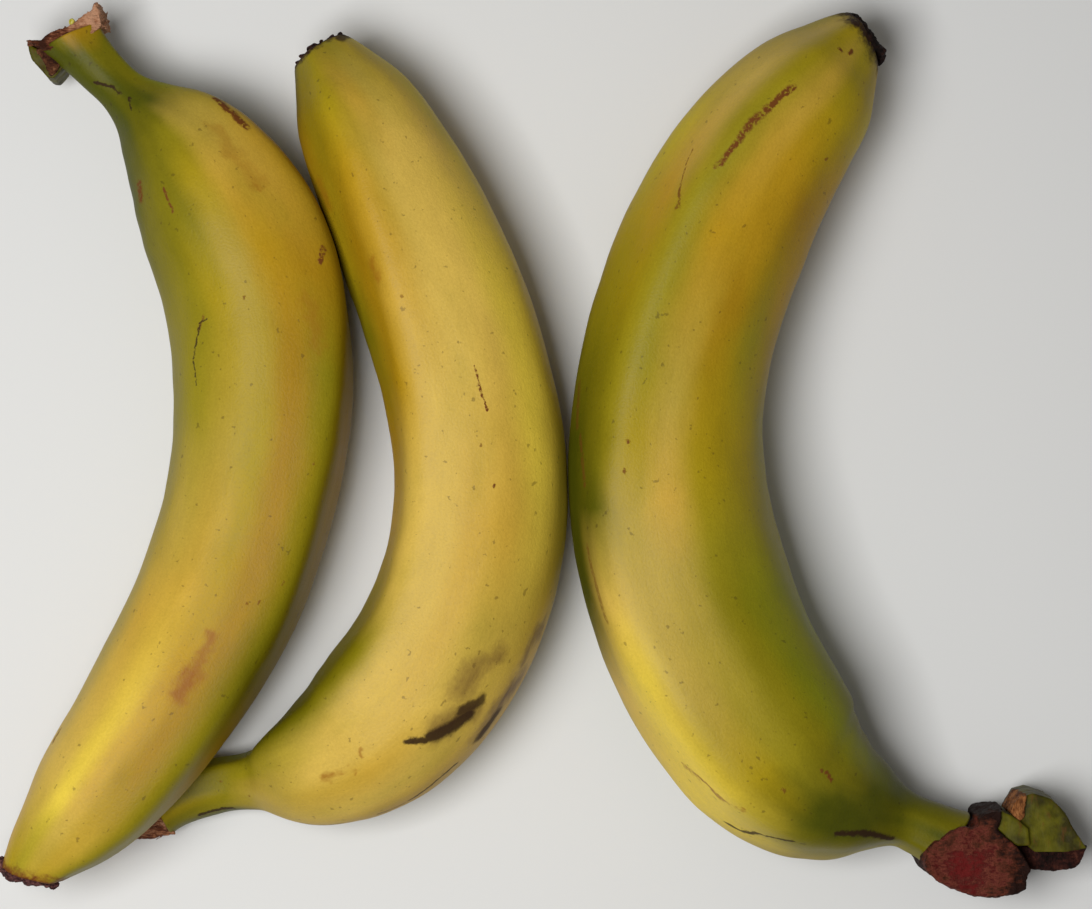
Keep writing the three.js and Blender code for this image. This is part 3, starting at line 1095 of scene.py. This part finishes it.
def build_right_crown():
    """The right crown: a cut block, green skin beside it, torn fibres and a dark heel."""
    corner = crown_corner("right", CROWN_RIGHT)
    cut = [slab(CROWN_RIGHT["cut"], corner, *LEVELS_RIGHT["cut"], 0.95, (0, 4))]
    centre = corner + Vector((-25.4, 7.2, 21)) * MM
    skin = [
        slab(CROWN_RIGHT["facet"], corner, *LEVELS_RIGHT["facet"], 0.95),
        slab(CROWN_RIGHT["leaf"], corner, *LEVELS_RIGHT["leaf"], 0.93, (-6, 0)),
    ]
    fibres = [slab(CROWN_RIGHT["fibres"], corner, *LEVELS_RIGHT["fibres"], 0.95)]
    heel = [slab(CROWN_RIGHT["heel"], corner, *LEVELS_RIGHT["heel"], 0.97)]
    finished = [
        (fuse("crown_right_cut", cut, 0.3, 3, (5, 1.8), (0.9, 0.5)),
         cut_material("crown_right_cut", centre, 11)),
        (fuse("crown_right_skin", skin, 0.3, 2, (7, 1)), skin_material("crown_right_skin")),
        (fuse("crown_right_fibres", fibres, 0.25, 1, (2, 0.8), (0.6, 0.4)),
         dried_material("crown_right_fibres", (
             (0.03, 0.01, 0.004), (0.12, 0.04, 0.012), (0.27, 0.1, 0.03), (0.38, 0.17, 0.06),
         ), (1.6, 0.5, 1))),
        (fuse("crown_right_heel", heel, 0.3, 2, (3, 1), (0.7, 0.5)),
         dried_material("crown_right_heel", (
             (0.005, 0.002, 0.001), (0.014, 0.004, 0.003), (0.035, 0.009, 0.006),
             (0.08, 0.024, 0.014),
         ))),
    ]
    for piece, material in finished:
        piece.data.materials.append(material)
        belong(piece, "right")


def build_banana(label):
    """Models one banana straight, bends it along its middle line and sets it down."""
    finger = read_finger(label)
    body = straight_peel("peel_" + label, finger)
    body.data.materials.append(peel_material(label, finger))
    pieces = [body, straight_tip(label, finger)]
    if label == "middle":
        pieces.append(straight_stem_end(finger))
    line = growth_line(finger)
    bend_along(pieces, line)
    bpy.data.objects.remove(line)
    set_down(pieces, "banana_" + label, finger["sides"], finger["offset"])
    for piece in pieces:
        belong(piece, label)


def build_stage():
    """The floor, one soft light, an even room round them, and the camera straight above."""
    settings = bpy.context.scene.banana_stage
    deselect_all()
    bpy.ops.mesh.primitive_plane_add(size=FLOOR_SIZE)
    floor = bpy.context.object
    floor.name = "floor"
    shade = Shade("floor", {"Base Color": (*settings.floor, 1), "Roughness": 0.8})
    floor.data.materials.append(shade.material)
    place = Vector(LIGHT_PLACE)
    bpy.ops.object.light_add(type="AREA", location=place)
    key = bpy.context.object
    key.data.energy = settings.key
    key.data.size = LIGHT_SIZE
    key.rotation_euler = place.to_track_quat("Z", "Y").to_euler()
    world = bpy.data.worlds.new("room")
    bpy.context.scene.world = world
    world.use_nodes = True
    world.node_tree.nodes["Background"].inputs["Color"].default_value = (1, 0.98, 0.94, 1)
    world.node_tree.nodes["Background"].inputs["Strength"].default_value = settings.fill
    bpy.ops.object.camera_add(location=(0, 0, settings.camera_height), rotation=(0, 0, 0))
    camera = bpy.context.object
    camera.data.sensor_width = SENSOR_WIDTH
    camera.data.lens = SENSOR_WIDTH * (settings.camera_height - VIEW_LEVEL) / VIEW_WIDTH
    bpy.context.scene.camera = camera
    bpy.context.scene.view_settings.view_transform = "Standard"


# ---------------------------------------------------------------- settings, operators, panel


def size_settings(label):
    """The settings class of one banana."""
    fields = {}
    for (word, name, description), value in zip(SIZE_WORDS, SIZES[label]):
        fields[word] = FloatProperty(
            name=name, description=description, default=value * MM, min=MM, unit="LENGTH"
        )
    return type("Banana" + label.title(), (PropertyGroup,), {"__annotations__": fields})


def colour_settings():
    fields = {
        key: FloatVectorProperty(
            name=name, description=description, default=value, size=3, min=0, max=1,
            subtype="COLOR",
        )
        for key, (name, description, value) in COLOURS.items()
    }
    return type("BananaColours", (PropertyGroup,), {"__annotations__": fields})


class BananaStage(PropertyGroup):
    floor: FloatVectorProperty(
        name="Floor", description="Colour of the floor", default=(0.7, 0.7, 0.69), size=3,
        min=0, max=1, subtype="COLOR",
    )
    key: FloatProperty(
        name="Key light", description="Power of the soft light", default=3.7, min=0,
        unit="POWER",
    )
    fill: FloatProperty(
        name="Fill light", description="Strength of the light all round", default=0.16, min=0
    )
    camera_height: FloatProperty(
        name="Camera height", description="Height of the camera over the floor", default=0.72,
        min=0.1, unit="LENGTH",
    )


def build_operator(label):
    class BuildBanana(Operator):
        bl_idname = "bananas." + label
        bl_label = label.title() + " banana"
        bl_description = "Models the " + label + " banana, with its stem and tip"

        def execute(self, context):
            build_banana(label)
            return {"FINISHED"}

    BuildBanana.__name__ = BuildBanana.__qualname__ = "BANANAS_OT_" + label
    BuildBanana.__doc__ = BuildBanana.bl_description
    return BuildBanana


class BANANAS_OT_crowns(Operator):
    """Models what is left of the crown on the left and right bananas"""

    bl_idname = "bananas.crowns"
    bl_label = "Crowns"

    def execute(self, context):
        build_left_crown()
        build_right_crown()
        return {"FINISHED"}


class BANANAS_OT_stage(Operator):
    """Adds the floor, the light and the camera"""

    bl_idname = "bananas.stage"
    bl_label = "Stage"

    def execute(self, context):
        build_stage()
        return {"FINISHED"}


class BANANAS_PT_panel(Panel):
    bl_label = "Bunch of bananas"
    bl_space_type = "VIEW_3D"
    bl_region_type = "UI"
    bl_category = "Bananas"

    def draw(self, context):
        for label in SIZES:
            box = self.layout.box()
            box.operator("bananas." + label)
            for word, _, _ in SIZE_WORDS:
                box.prop(getattr(context.scene, "banana_" + label), word)
        self.layout.operator("bananas.crowns")
        box = self.layout.box()
        for name in COLOURS:
            box.prop(context.scene.banana_colours, name)
        box = self.layout.box()
        box.operator("bananas.stage")
        for name in ("floor", "key", "fill", "camera_height"):
            box.prop(context.scene.banana_stage, name)


SETTINGS = {"banana_" + label: size_settings(label) for label in SIZES}
SETTINGS["banana_colours"] = colour_settings()
SETTINGS["banana_stage"] = BananaStage
OPERATORS = [build_operator(label) for label in SIZES] + [BANANAS_OT_crowns, BANANAS_OT_stage]


def register():
    for name, group in SETTINGS.items():
        bpy.utils.register_class(group)
        setattr(bpy.types.Scene, name, PointerProperty(type=group))
    for operator in OPERATORS:
        bpy.utils.register_class(operator)
    bpy.utils.register_class(BANANAS_PT_panel)


def unregister():
    bpy.utils.unregister_class(BANANAS_PT_panel)
    for operator in reversed(OPERATORS):
        bpy.utils.unregister_class(operator)
    for name, group in reversed(SETTINGS.items()):
        delattr(bpy.types.Scene, name)
        bpy.utils.unregister_class(group)


def main():
    register()
    bpy.ops.bananas.left()
    bpy.ops.bananas.middle()
    bpy.ops.bananas.right()
    bpy.ops.bananas.crowns()
    bpy.ops.bananas.stage()


if __name__ == "__main__":
    main()
